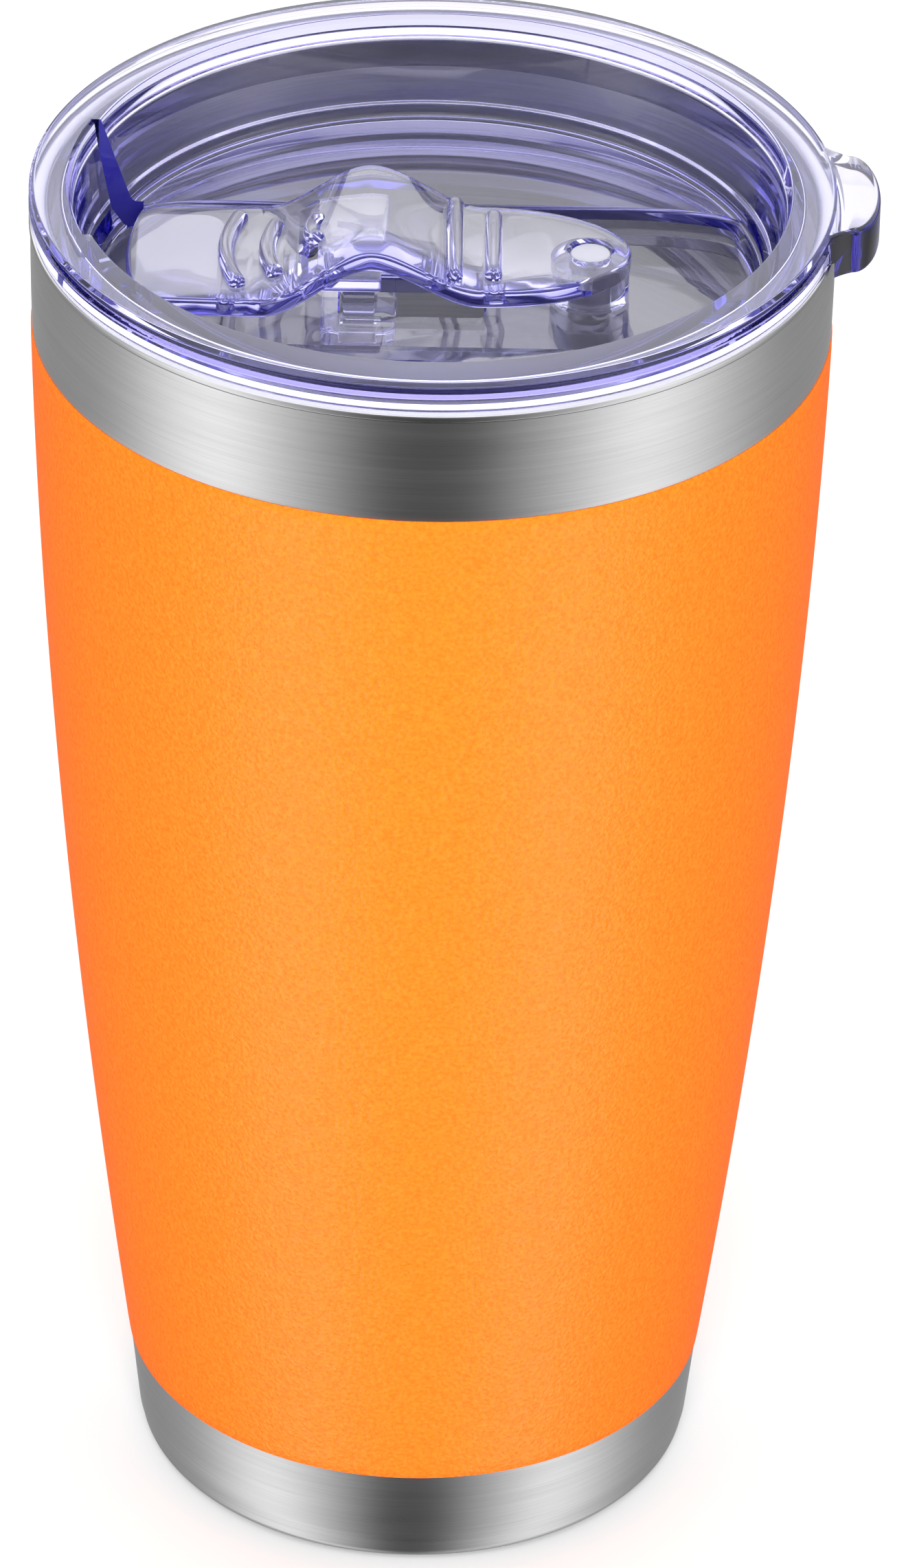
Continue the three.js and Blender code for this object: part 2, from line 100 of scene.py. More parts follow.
# Slider
PLATE_THICKNESS = 2.2
SPOUT_END = -34.5
VENT_END = 22.3
SPOUT_HALF = 11.2
VENT_HALF = 10
SPOUT_DEPTH = 9.3
VENT_DEPTH = 8.3
HUMP_DEPTH = 3.5
HUMP_START = -19
HUMP_PEAK = -7
HUMP_END = 5.5
WEB = (-17, -5.7, 8.4, 9.6, 8)  # near, far, half width, bottom, top of the flat web across the hump
LEG = (-10, -6.5, 3.2, 4.2)  # near, far, inner, outer
BOSS_RADIUS = 4.45
BOSS_BORE = 2.4
LEG_PAST = 0.8  # how far the legs reach past the keeper
SLOT_GAP = 0.4
KEEPER = (-12.5, -4, 6.5, 18.9, 17.1)  # near, far, half width, bottom, top
RIB = 1.0  # radius of a grip
RIB_RISE = 0.2  # how far a grip's axis lies above the plate
ARC_GRIPS = ((-23.2, 7.3, 1.3), (-18.6, 5.2, 0.9), (-13.6, 2.2, 0.5))  # x, half length, bulge
BAR_GRIPS = ((2.4, 8.1), (6.8, 6.6))  # x, half length


# ---- Mesh helpers: all take millimetres and return an object in metres ----
def object_from(bm, name):
    bmesh.ops.recalc_face_normals(bm, faces=bm.faces)
    for vertex in bm.verts:
        vertex.co *= MM
    mesh = bpy.data.meshes.new(name)
    bm.to_mesh(mesh)
    bm.free()
    made = bpy.data.objects.new(name, mesh)
    bpy.context.scene.collection.objects.link(made)
    return made


def arc(centre_r, centre_z, radius, start, end, steps=6):
    """Points [r, z] along a circular arc, with angles in degrees."""
    points = []
    for i in range(steps + 1):
        angle = math.radians(start + (end - start) * i / steps)
        points.append((centre_r + radius * math.cos(angle), centre_z + radius * math.sin(angle)))
    return points


def curved(start, bend, end, steps):
    """Points along a quadratic curve from start to end, drawn towards bend."""
    points = []
    for i in range(steps + 1):
        t = i / steps
        point = start * (1 - t) ** 2 + bend * 2 * t * (1 - t) + end * t**2
        points.append((point.x, point.y))
    return points


def softened(corners, steps=5):
    """A profile from (r, z, fillet) corners: each corner becomes a curve close to an arc of its fillet."""
    points = []
    count = len(corners)
    for i, (r, z, fillet) in enumerate(corners):
        here = Vector((r, z))
        if fillet <= 0:
            points.append((r, z))
            continue
        before = Vector(corners[i - 1][:2]) - here
        after = Vector(corners[(i + 1) % count][:2]) - here
        cosine = max(-0.9999, min(0.9999, before.normalized().dot(after.normalized())))
        half = math.acos(cosine) / 2
        cut = min(fillet / math.tan(half), 0.49 * before.length, 0.49 * after.length)
        start = here + before.normalized() * cut
        end = here + after.normalized() * cut
        points += curved(start, here, end, steps)
    return points


def turned(name, profile, around=AROUND):
    """Solid of revolution: the profile is a closed loop, or starts and ends on the axis."""
    bm = bmesh.new()
    rings = []
    for r, z in profile:
        if r < 1e-6:
            rings.append([bm.verts.new((0, 0, z))])
        else:
            ring = []
            for k in range(around):
                angle = FULL * k / around
                ring.append(bm.verts.new((r * math.cos(angle), r * math.sin(angle), z)))
            rings.append(ring)
    closed = len(rings[0]) > 1
    pairs = list(zip(rings, rings[1:]))
    if closed:
        pairs.append((rings[-1], rings[0]))
    for low, high in pairs:
        if len(low) == 1 and len(high) == 1:
            continue
        for k in range(around):
            following = (k + 1) % around
            if len(low) == 1:
                bm.faces.new((low[0], high[k], high[following]))
            elif len(high) == 1:
                bm.faces.new((low[k], low[following], high[0]))
            else:
                bm.faces.new((low[k], low[following], high[following], high[k]))
    return object_from(bm, name)


def inset(outline, amount):
    """The outline moved inwards by an amount, along the mean of its neighbouring edges' normals."""
    moved = []
    count = len(outline)
    for i in range(count):
        here = Vector(outline[i])
        before = (here - Vector(outline[i - 1])).normalized()
        after = (Vector(outline[(i + 1) % count]) - here).normalized()
        inward = Vector((-before.y - after.y, before.x + after.x))
        if inward.length < 1e-9:
            moved.append(tuple(here))
            continue
        inward.normalize()
        reach = amount / max(0.5, inward.dot(Vector((-before.y, before.x))))
        moved.append(tuple(here + inward * reach))
    return moved


def edge_levels(bottom, top, low_round, high_round, steps=4, top_way=1):
    """(inset, height) levels of a slab with rounded edges. A top_way of -1 flares the top edge out."""
    levels = []
    for k in range(steps + 1):
        angle = math.pi / 2 * k / steps
        levels.append((low_round * (1 - math.sin(angle)), bottom + low_round * (1 - math.cos(angle))))
    for k in range(steps + 1):
        angle = math.pi / 2 * k / steps
        amount = top_way * high_round * (1 - math.cos(angle))
        levels.append((amount, top - high_round * (1 - math.sin(angle))))
    return levels


def slab_mesh(outline, levels):
    """A closed body whose plan is the outline, inset by each level's amount at each level's height."""
    bm = bmesh.new()
    rings = []
    last = None
    for amount, height in levels:
        if last is not None and abs(last[0] - amount) + abs(last[1] - height) < 1e-6:
            continue
        last = (amount, height)
        rings.append([bm.verts.new((x, y, height)) for x, y in inset(outline, amount)])
    count = len(outline)
    for low, high in zip(rings, rings[1:]):
        for k in range(count):
            following = (k + 1) % count
            bm.faces.new((low[k], low[following], high[following], high[k]))
    bm.faces.new(list(reversed(rings[0])))
    bm.faces.new(rings[-1])
    return bm


def slab(name, outline, levels):
    return object_from(slab_mesh(outline, levels), name)


def rounded_box_outline(x0, x1, half, corner, steps=8):
    points = []
    centres = ((x1 - corner, -half + corner, -90), (x1 - corner, half - corner, 0))
    centres += ((x0 + corner, half - corner, 90), (x0 + corner, -half + corner, 180))
    for cx, cy, start in centres:
        points += arc(cx, cy, corner, start, start + 90, steps)
    return points


def circle_outline(cx, radius, count=128):
    angles = [FULL * k / count for k in range(count)]
    return [(cx + radius * math.cos(angle), radius * math.sin(angle)) for angle in angles]


def tube(name, points, radius, sides=16, end_steps=5):
    """A round bar along points, with half-round ends."""
    bm = bmesh.new()
    path = [Vector(p) for p in points]
    first = (path[1] - path[0]).normalized()
    last = (path[-1] - path[-2]).normalized()
    stations = []
    for k in range(1, end_steps + 1):
        angle = math.pi / 2 * k / end_steps
        stations.append((path[0] - first * radius * math.cos(angle), radius * math.sin(angle), first))
    for i in range(1, len(path) - 1):
        along = (path[i + 1] - path[i - 1]).normalized()
        stations.append((path[i], radius, along))
    for k in range(end_steps, 0, -1):
        angle = math.pi / 2 * k / end_steps
        stations.append((path[-1] + last * radius * math.cos(angle), radius * math.sin(angle), last))
    rings = []
    for centre, size, along in stations:
        side = along.cross(Vector((0, 0, 1))).normalized()
        up = side.cross(along).normalized()
        ring = []
        for k in range(sides):
            angle = FULL * k / sides
            ring.append(bm.verts.new(centre + side * size * math.cos(angle) + up * size * math.sin(angle)))
        rings.append(ring)
    start_pole = bm.verts.new(path[0] - first * radius)
    end_pole = bm.verts.new(path[-1] + last * radius)
    for low, high in zip(rings, rings[1:]):
        for k in range(sides):
            following = (k + 1) % sides
            bm.faces.new((low[k], low[following], high[following], high[k]))
    for k in range(sides):
        following = (k + 1) % sides
        bm.faces.new((start_pole, rings[0][following], rings[0][k]))
        bm.faces.new((end_pole, rings[-1][k], rings[-1][following]))
    return object_from(bm, name)


def combine(target, other, operation):
    """Joins or cuts target with other, which is used up."""
    modifier = target.modifiers.new(operation.lower(), "BOOLEAN")
    modifier.operation = operation
    modifier.object = other
    modifier.solver = "MANIFOLD"
    graph = bpy.context.evaluated_depsgraph_get()
    result = bpy.data.meshes.new_from_object(target.evaluated_get(graph), depsgraph=graph)
    if not result.polygons:
        raise RuntimeError(f"{operation} of {target.name} and {other.name} left nothing")
    target.modifiers.clear()
    old = target.data
    target.data = result
    bpy.data.meshes.remove(old)
    spent = other.data
    bpy.data.objects.remove(other)
    bpy.data.meshes.remove(spent)
    return target


def lift(piece):
    """Moves a piece modelled from the lid's top up to its place."""
    piece.data.transform(Matrix.Translation((0, 0, HEIGHT * MM)))
    return piece


def finish_piece(piece, body, nodes, material, sharp_angle=32):
    """Shades, paints and seats a piece in place of its CAD nodes."""
    mesh = piece.data
    mesh.materials.clear()
    mesh.materials.append(material)
    mesh.shade_smooth()
    mesh.set_sharp_from_angle(angle=math.radians(sharp_angle))
    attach(piece, body)
    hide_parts(*nodes)
    return piece


# ---- Material helpers ----
NOISE_LOW = 0.3  # most of a noise texture's values lie between these two
NOISE_HIGH = 0.7


class Shader:
    """A material's node tree, with short calls for the nodes used here."""

    def __init__(self, name):
        self.material = bpy.data.materials.new(name)
        self.material.use_nodes = True
        self.tree = self.material.node_tree
        self.surface = self.tree.nodes["Principled BSDF"]
        self.output = self.tree.nodes["Material Output"]
        self.coordinates = self.tree.nodes.new("ShaderNodeTexCoord")

    def link(self, source, target):
        self.tree.links.new(source, target)

    def constant(self, **values):
        for name, value in values.items():
            self.surface.inputs[name.replace("_", " ")].default_value = value

    def scaled(self, scale):
        mapping = self.tree.nodes.new("ShaderNodeMapping")
        mapping.inputs["Scale"].default_value = scale
        self.link(self.coordinates.outputs["Object"], mapping.inputs["Vector"])
        return mapping.outputs["Vector"]

    def noise(self, scale, detail=3, roughness=0.55):
        node = self.tree.nodes.new("ShaderNodeTexNoise")
        node.inputs["Scale"].default_value = 1
        node.inputs["Detail"].default_value = detail
        node.inputs["Roughness"].default_value = roughness
        self.link(self.scaled(scale), node.inputs["Vector"])
        return node.outputs["Fac"]

    def between(self, value, low, high):
        node = self.tree.nodes.new("ShaderNodeMapRange")
        node.inputs["From Min"].default_value = NOISE_LOW
        node.inputs["From Max"].default_value = NOISE_HIGH
        node.inputs["To Min"].default_value = low
        node.inputs["To Max"].default_value = high
        self.link(value, node.inputs["Value"])
        return node.outputs["Result"]

    def colours(self, value, low, high):
        node = self.tree.nodes.new("ShaderNodeValToRGB")
        node.color_ramp.elements[0].position = NOISE_LOW
        node.color_ramp.elements[0].color = (*low, 1)
        node.color_ramp.elements[1].position = NOISE_HIGH
        node.color_ramp.elements[1].color = (*high, 1)
        self.link(value, node.inputs["Fac"])
        return node.outputs["Color"]

    def paint(self, value, low, high):
        self.link(self.colours(value, low, high), self.surface.inputs["Base Color"])

    def roughen(self, value, low, high):
        self.link(self.between(value, low, high), self.surface.inputs["Roughness"])

    def bump(self, height, distance, strength=1.0, after=None):
        node = self.tree.nodes.new("ShaderNodeBump")
        node.inputs["Distance"].default_value = distance
        node.inputs["Strength"].default_value = strength
        self.link(height, node.inputs["Height"])
        if after is not None:
            self.link(after, node.inputs["Normal"])
        self.link(node.outputs["Normal"], self.surface.inputs["Normal"])
        return node.outputs["Normal"]


def brushed_steel(name, roughness=0.3, grey=0.62, anisotropy=0.75):
    """Steel brushed round the axis, with fine lines at many heights and gloss that spreads up and down."""
    shader = Shader(name)
    shader.constant(Metallic=1, Anisotropic=anisotropy, Anisotropic_Rotation=0.25)
    tangent = shader.tree.nodes.new("ShaderNodeTangent")
    tangent.direction_type = "RADIAL"
    tangent.axis = "Z"
    shader.link(tangent.outputs["Tangent"], shader.surface.inputs["Tangent"])
    lines = shader.noise((55, 55, 5200), detail=4, roughness=0.7)
    broad = shader.noise((18, 18, 420), detail=2)
    dark = (grey * 0.9, grey * 0.9, grey * 0.905)
    light = (grey * 1.06, grey * 1.06, grey * 1.065)
    shader.paint(lines, dark, light)
    shader.roughen(broad, roughness * 0.88, roughness * 1.15)
    shader.bump(lines, 0.000012, 0.5)
    return shader.material


def polished_steel():
    shader = Shader("polished_rim_steel")
    shader.constant(Metallic=1)
    smudges = shader.noise((160, 160, 900), detail=3)
    shader.paint(smudges, (0.54, 0.54, 0.55), (0.6, 0.6, 0.61))
    shader.roughen(smudges, 0.14, 0.22)
    shader.bump(smudges, 0.000008, 0.3)
    return shader.material


def powder_coat():
    """Satin coat with the fine pebbled skin of baked powder."""
    shader = Shader("orange_powder_coat")
    shader.constant(Specular_IOR_Level=0.025)
    pebbles = shader.noise((2000, 2000, 2000), detail=2, roughness=0.5)
    skin = shader.noise((620, 620, 620), detail=2, roughness=0.5)
    shader.paint(pebbles, (0.86, 0.121, 0.006), (0.92, 0.163, 0.012))
    shader.roughen(skin, 0.36, 0.46)
    first = shader.bump(skin, 0.00006, 0.6)
    shader.bump(pebbles, 0.00016, 1.0, after=first)
    return shader.material


def clear_plastic(name, tint, wave_scale=90, wave_detail=1, ripple=0.00002, clearness=1.0):
    """Clear gloss plastic whose violet-blue tint deepens with the light's path through it."""
    shader = Shader(name)
    shader.constant(Transmission_Weight=clearness, IOR=1.53)
    shader.surface.inputs["Base Color"].default_value = (*tint, 1)
    haze = shader.noise((300, 300, 300), detail=3)
    waves = shader.noise((wave_scale, wave_scale, wave_scale), detail=wave_detail)
    shader.roughen(haze, 0.012, 0.035)
    shader.bump(waves, ripple, 0.25)
    absorb = shader.tree.nodes.new("ShaderNodeVolumeAbsorption")
    absorb.inputs["Color"].default_value = (0.14, 0.1, 0.84, 1)
    absorb.inputs["Density"].default_value = 46
    shader.link(absorb.outputs["Volume"], shader.output.inputs["Volume"])
    return shader.material


def silicone(name, colour, transmission):
    shader = Shader(name)
    shader.constant(Transmission_Weight=transmission, IOR=1.41, Subsurface_Weight=0.25)
    shader.surface.inputs["Subsurface Radius"].default_value = (0.003, 0.003, 0.0035)
    cloud = shader.noise((140, 140, 140), detail=3)
    grain = shader.noise((2600, 2600, 2600), detail=2)
    darker = tuple(c * 0.93 for c in colour)
    shader.paint(cloud, darker, colour)
    shader.roughen(grain, 0.38, 0.52)
    shader.bump(grain, 0.00001, 0.5)
    return shader.material


def copper_foil():
    shader = Shader("copper_foil")
    shader.constant(Metallic=1)
    creases = shader.noise((260, 260, 90), detail=5, roughness=0.6)
    shader.paint(creases, (0.62, 0.29, 0.15), (0.78, 0.42, 0.25))
    shader.roughen(creases, 0.22, 0.4)
    shader.bump(creases, 0.0001, 0.6)
    return shader.material


def sintered(name, dark, light, metallic, roughness):
    shader = Shader(name)
    shader.constant(Metallic=metallic)
    grains = shader.noise((3200, 3200, 3200), detail=3)
    shader.paint(grains, dark, light)
    shader.roughen(grains, roughness * 0.85, roughness)
    shader.bump(grains, 0.00004, 0.6)
    return shader.material


# ---- Cup ----
def cup_radius(height):
    if height < FOOT_BAND:
        return RIM_RADIUS - TAPER - FOOT_SLOPE * (FOOT_BAND - height)
    share = max(0, (RIM_START - height) / (RIM_START - FOOT_BAND))
    return RIM_RADIUS - TAPER * share**TAPER_POWER


def steps_between(low, high, count):
    return [low + (high - low) * i / count for i in range(count + 1)]


def outer_shell():
    foot = cup_radius(0) - COAT_PROUD
    top = RIM_START - 0.07
    outside = arc(foot - FOOT_FILLET, FOOT_FILLET, FOOT_FILLET, -90, 0, 10)
    outside += [(cup_radius(z) - COAT_PROUD, z) for z in steps_between(FOOT_FILLET + 1, top, 90)]
    inside = [(cup_radius(z) - COAT_PROUD - SHEET, z) for z in steps_between(top, FOOT_FILLET + 1, 40)]
    inside += arc(foot - FOOT_FILLET, FOOT_FILLET, FOOT_FILLET - SHEET, 0, -90, 6)
    return turned("steel_shell", outside + inside)


def coat():
    """The coat's edges thin out over a fraction of a millimetre, as masked paint does."""
    edge = 0.12
    heights = steps_between(FOOT_BAND, COAT_TOP, 100)
    under = COAT_PROUD - 0.01
    outside = [(cup_radius(FOOT_BAND) - under + 0.05, FOOT_BAND)]
    outside += [(cup_radius(FOOT_BAND + edge) - 0.02, FOOT_BAND + edge)]
    outside += [(cup_radius(z), z) for z in heights[1:-1]]
    outside += [(cup_radius(COAT_TOP - edge) - 0.02, COAT_TOP - edge)]
    outside += [(cup_radius(COAT_TOP) - under + 0.05, COAT_TOP)]
    inside = [(cup_radius(z) - under, z) for z in reversed(heights)]
    return turned("orange_coat", outside + inside)


def liner_radius(height):
    return cup_radius(height) - WALL_DEPTH


def liner():
    corner_top = LINER_FLOOR + LINER_CORNER
    centre = liner_radius(corner_top) - LINER_CORNER
    heights = steps_between(corner_top, FLARE_START, 60)[1:]
    inside = arc(centre, corner_top, LINER_CORNER, -90, 0, 12)
    inside += [(liner_radius(z), z) for z in heights]
    rim = softened(
        [
            (liner_radius(FLARE_START), FLARE_START, 0),
            (RIM_RADIUS - 2.9, RIM_START - 3.2, 2),
            (RIM_RADIUS - 2.4, RIM_TOP, 1.4),
            (RIM_RADIUS, RIM_TOP, 0.5),
            (RIM_RADIUS, RIM_START, 0.2),
            (RIM_RADIUS - 1.7, RIM_START, 0.3),
            (RIM_RADIUS - 2.4, RIM_START - 2.8, 1),
            (liner_radius(FLARE_START) + SHEET, FLARE_START, 0),
        ],
        steps=8,
    )
    outside = [(liner_radius(z) + SHEET, z) for z in reversed(heights[:-1])]
    outside += arc(centre, corner_top, LINER_CORNER + SHEET, 0, -90, 12)
    profile = [(0, LINER_FLOOR)] + inside[:-1] + rim + outside + [(0, LINER_FLOOR - SHEET)]
    return turned("steel_liner", profile)


def base_disc():
    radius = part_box("base_cap")[1].x / MM
    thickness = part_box("base_cap")[1].z / MM
    ring_inner = 25.4
    ring_outer = 26.8
    groove = 0.35
    profile = softened(
        [
            (0, 0, 0),
            (ring_inner, 0, 0.2),
            (ring_inner + 0.3, groove, 0.15),
            (ring_outer - 0.3, groove, 0.15),
            (ring_outer, 0, 0.2),
            (radius, 0, 0.3),
            (radius, thickness, 0.1),
            (0, thickness, 0),
        ]
    )
    return turned("base_disc", profile)


# ---- Lid, modelled with the top of its flange at height 0 ----
def lid_turned():
    underside = -(FLOOR_DEPTH + FLOOR_THICKNESS)
    side = FLANGE_RADIUS
    profile = softened(
        [
            (0, underside, 0),
            (SKIRT_INNER, underside, 0.6),
            (SKIRT_INNER, -SKIRT_DEPTH, 0.3),
            (PLUG_RADIUS - 0.8, -SKIRT_DEPTH, 0.3),
            (PLUG_RADIUS - 0.2, -SKIRT_DEPTH + 0.5, 0.2),
            (PLUG_RADIUS - 0.2, -GROOVE_BOTTOM, 0.12),
            (GROOVE_RADIUS, -GROOVE_BOTTOM, 0.2),
            (GROOVE_RADIUS, -GROOVE_TOP, 0.2),
            (PLUG_RADIUS, -GROOVE_TOP, 0.12),
            (PLUG_RADIUS, -FLANGE_DEPTH, 0.5),
            (side - 0.35, -FLANGE_DEPTH, 0.3),
            (side, -FLANGE_DEPTH + 0.5, 0.5),
            (side, -1.75, 0.2),
            (side - 0.65, -1.5, 0.15),
            (side - 0.65, -1.0, 0.15),
            (side, -0.8, 0.2),
            (side - 0.05, -0.4, 0.25),
            (side - 0.6, 0, 0.4),
            (MOUTH_RADIUS + 0.1, 0, 0.3),
            (WELL_FOOT, -FLOOR_DEPTH, 1.3),
            (0, -FLOOR_DEPTH, 0),
        ]
    )
    return turned("lid", profile, around=256)


def channel_outline(grow=0.0, limit=36.9):
    """Plan of the slider's channel: straight sides, drawn in at both ends, inside the well's foot."""
    half = CHANNEL_HALF + grow
    steps = 24
    end_angle = 21  # degrees of the round end, from its middle to where the corner starts
    straight = 22  # the sides are straight up to here
    quarter = []
    for i in range(steps):
        angle = math.radians(end_angle * (i / steps))
        quarter.append((limit * math.cos(angle), limit * math.sin(angle)))
    corner_start = Vector(quarter.pop())
    corner_bend = Vector((limit * 0.885, half * 0.985))
    quarter += curved(corner_start, corner_bend, Vector((straight, half)), steps)
    right = [(x, -y) for x, y in reversed(quarter)] + quarter[1:]
    left = [(-x, y) for x, y in reversed(right)]
    # anticlockwise: right end upwards, then left end downwards
    return right + left


def spout_sector():
    side = math.sin(SPOUT_HALF_ANGLE) * MOUTH_RADIUS
    return [(-33, -side - 2.4), (-33, side + 2.4), (-38, side), (-42, side), (-42, -side), (-38, -side)]


def spout_recess():
    wall = turned(
        "spout_wall",
        softened(
            [
                (0, -CHANNEL_DEPTH, 0),
                (WELL_FOOT + 0.6, -CHANNEL_DEPTH, 0.8),
                (WELL_FOOT + 1.8, -FLOOR_DEPTH, 0.5),
                (MOUTH_RADIUS + 0.75, -0.6, 0.2),
                (MOUTH_RADIUS + 1.3, 0.2, 0),
                (0, 0.2, 0),
            ]
        ),
        around=256,
    )
    sector = slab("spout_sector", list(reversed(spout_sector())), [(0, -CHANNEL_DEPTH - 1), (0, 1)])
    return combine(wall, sector, "INTERSECT")


def finger_tab():
    root = FLANGE_RADIUS - 1.2
    tip_centre = TAB_REACH - TAB_TIP_CURVE
    start = Vector((root - 1.5, -TAB_ROOT_HALF))
    bend = Vector((root + 0.5, -TAB_TIP_HALF - 1))
    points = curved(start, bend, Vector((tip_centre, -TAB_TIP_HALF)), 10)
    tip_steps = 24
    for i in range(1, tip_steps):
        angle = -math.pi / 2 + math.pi / 2 * i / tip_steps
        points.append((tip_centre + TAB_TIP_CURVE * math.cos(angle), TAB_TIP_HALF * math.sin(angle)))
    outline = points + [(TAB_REACH, 0)] + [(x, -y) for x, y in reversed(points)]
    return slab("tab", outline, edge_levels(-TAB_DEPTH, -TAB_DROP, 0.6, 0.7))


def floor_cutter(name, outline, flare, flare_height):
    """A cutter through the channel's floor, whose upper edge opens out by flare over flare_height."""
    top = -CHANNEL_DEPTH + 0.1
    return slab(name, outline, [(0, -20), (0, top - flare_height), (-flare, top), (-flare, -12)])


def lid_body():
    keel_levels = edge_levels(-(CHANNEL_DEPTH + FLOOR_THICKNESS), -FLOOR_DEPTH - 0.6, 0.8, 0)
    keel = slab("keel", channel_outline(2, 39.4), keel_levels)
    lip_round = 0.45
    channel_levels = edge_levels(-CHANNEL_DEPTH, -FLOOR_DEPTH, 0.9, lip_round, steps=5, top_way=-1)
    channel_levels.append((-lip_round, -FLOOR_DEPTH + 0.6))
    channel = slab("channel", channel_outline(), channel_levels)
    near, far, half = DRINK_HOLE
    hole = floor_cutter("hole", rounded_box_outline(near, far, half, 3), 0.5, 0.6)
    leg_near, leg_far, _, leg_outer = LEG
    slot_far = leg_far + TRAVEL + SLOT_GAP
    slot_outline = rounded_box_outline(leg_near - SLOT_GAP, slot_far, leg_outer + SLOT_GAP, 0.8)
    slot = floor_cutter("slot", slot_outline, 0.25, 0.4)
    vent = slab("vent", circle_outline(VENT_X, VENT_RADIUS, 32), [(0, -20), (0, -12)])
    body = lid_turned()
    around_rim = RIM_RADIUS + 0.5
    under_flange = -FLANGE_DEPTH + 0.01
    below = -TAB_DEPTH - 0.2
    rim_profile = [(0, below), (around_rim, below), (around_rim, under_flange), (0, under_flange)]
    rim_space = turned("rim_space", rim_profile)
    tab = combine(finger_tab(), rim_space, "DIFFERENCE")
    combine(body, keel, "UNION")
    combine(body, tab, "UNION")
    for cutter in (channel, spout_recess(), hole, slot, vent):
        combine(body, cutter, "DIFFERENCE")
    body.name = "clear_lid"
    return lift(body)


def gasket():
    inner = GROOVE_RADIUS + GAP
    low = -GROOVE_BOTTOM + GAP
    high = -GROOVE_TOP - GAP
    lip = liner_radius(HEIGHT + low) - 0.15
    waist = inner + 0.5
    middle = (low + high) / 2
    profile = softened(
        [
            (inner, low, 0.1),
            (waist, low, 0.1),
            (lip, low + 0.8, 0.15),
            (lip, low + 1.15, 0.15),
            (waist, middle, 0.3),
            (lip, high - 1.15, 0.15),
            (lip, high - 0.8, 0.15),
            (waist, high, 0.1),
            (inner, high, 0.1),
        ]
    )
    return lift(turned("lid_ring", profile))


# ---- Slider ----
def slider_top(x):
    def ease(share):
        return share * share * (3 - 2 * share)

    if x <= HUMP_START:
        return -SPOUT_DEPTH
    if x >= HUMP_END:
        return -VENT_DEPTH
    if x < HUMP_PEAK:
        return -SPOUT_DEPTH + (SPOUT_DEPTH - HUMP_DEPTH) * ease((x - HUMP_START) / (HUMP_PEAK - HUMP_START))
    return -VENT_DEPTH + (VENT_DEPTH - HUMP_DEPTH) * ease((HUMP_END - x) / (HUMP_END - HUMP_PEAK))


def slider_outline():
    corner = 2.5
    side = math.asin((SPOUT_HALF - corner) / -SPOUT_END)
    end_x = SPOUT_END * math.cos(side)
    points = [(HUMP_START, -SPOUT_HALF)]
    for i in range(41):
        angle = -math.pi / 2 + math.pi * i / 40
        points.append((HUMP_END + (VENT_END - HUMP_END) * math.cos(angle), VENT_HALF * math.sin(angle)))
    points.append((HUMP_START, SPOUT_HALF))
    start = Vector((SPOUT_END + 2 * corner, SPOUT_HALF))
    bend = Vector((end_x + 0.4, SPOUT_HALF))
    end = Vector((end_x, SPOUT_HALF - corner))
    rounded = curved(start, bend, end, 8)
    points += rounded
    for i in range(1, 16):
        angle = math.pi - side + 2 * side * i / 16
        points.append((-SPOUT_END * math.cos(angle), -SPOUT_END * math.sin(angle)))
    points += [(x, -y) for x, y in reversed(rounded)]
    return points


def humped_slab(name, outline, levels, cuts):
    """A slab modelled flat round height 0, sliced across, then bent to follow the slider's hump."""
    bm = slab_mesh(outline, levels)
    for i in range(cuts + 1):
        x = HUMP_START + (HUMP_END - HUMP_START) * i / cuts
        everything = bm.verts[:] + bm.edges[:] + bm.faces[:]
        bmesh.ops.bisect_plane(bm, geom=everything, plane_co=(x, 0, 0), plane_no=(1, 0, 0), dist=1e-5)
    for vertex in bm.verts:
        vertex.co.z += slider_top(vertex.co.x)
    return object_from(bm, name)


def arc_grip(index, x, half_length, bulge):
    points = []
    for i in range(-12, 13):
        share = i / 12
        px = x + bulge * share**2
        points.append((px, half_length * share, slider_top(px) + RIB_RISE))
    return tube(f"arc_grip_{index}", points, RIB)


def bar_grip(index, x, half_length):
    points = [(x, half_length * i / 6, slider_top(x) + RIB_RISE) for i in range(-6, 7)]
    return tube(f"bar_grip_{index}", points, RIB)


def leg_outline(side, grow):
    near, far, inner, outer = LEG
    low, high = sorted((side * (inner - grow), side * (outer + grow)))
    return [(near - grow, low), (far + grow, low), (far + grow, high), (near - grow, high)]


